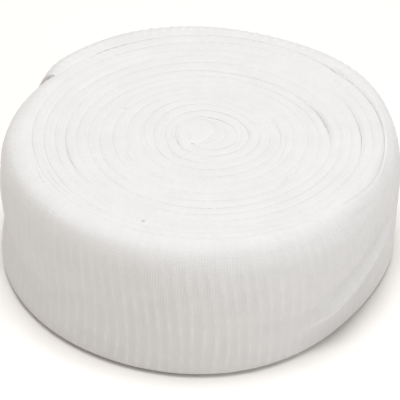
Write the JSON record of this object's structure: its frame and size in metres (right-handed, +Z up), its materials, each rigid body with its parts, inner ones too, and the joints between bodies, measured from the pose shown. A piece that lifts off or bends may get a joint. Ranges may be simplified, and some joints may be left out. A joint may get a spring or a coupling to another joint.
{
  "type": "tubular net bandage roll",
  "caption": "Loosely wound roll of flat-pressed tubular knitted net bandage, standing on its folded edge, with a loose cut end at the back.",
  "frame": {"origin": "middle of the box around the roll, on the surface it stands on", "axes": "+Z up along the winding's axis, -Y towards the side seen in the picture, loose end at the back left"},
  "size_m": [0.131, 0.1362, 0.049],
  "materials": {
    "net_cloth": "matte knitted cotton net, bleached white"
  },
  "bodies": {
    "root": {"roll": "net_cloth", "loose_end": "net_cloth"}
  },
  "joints": []
}
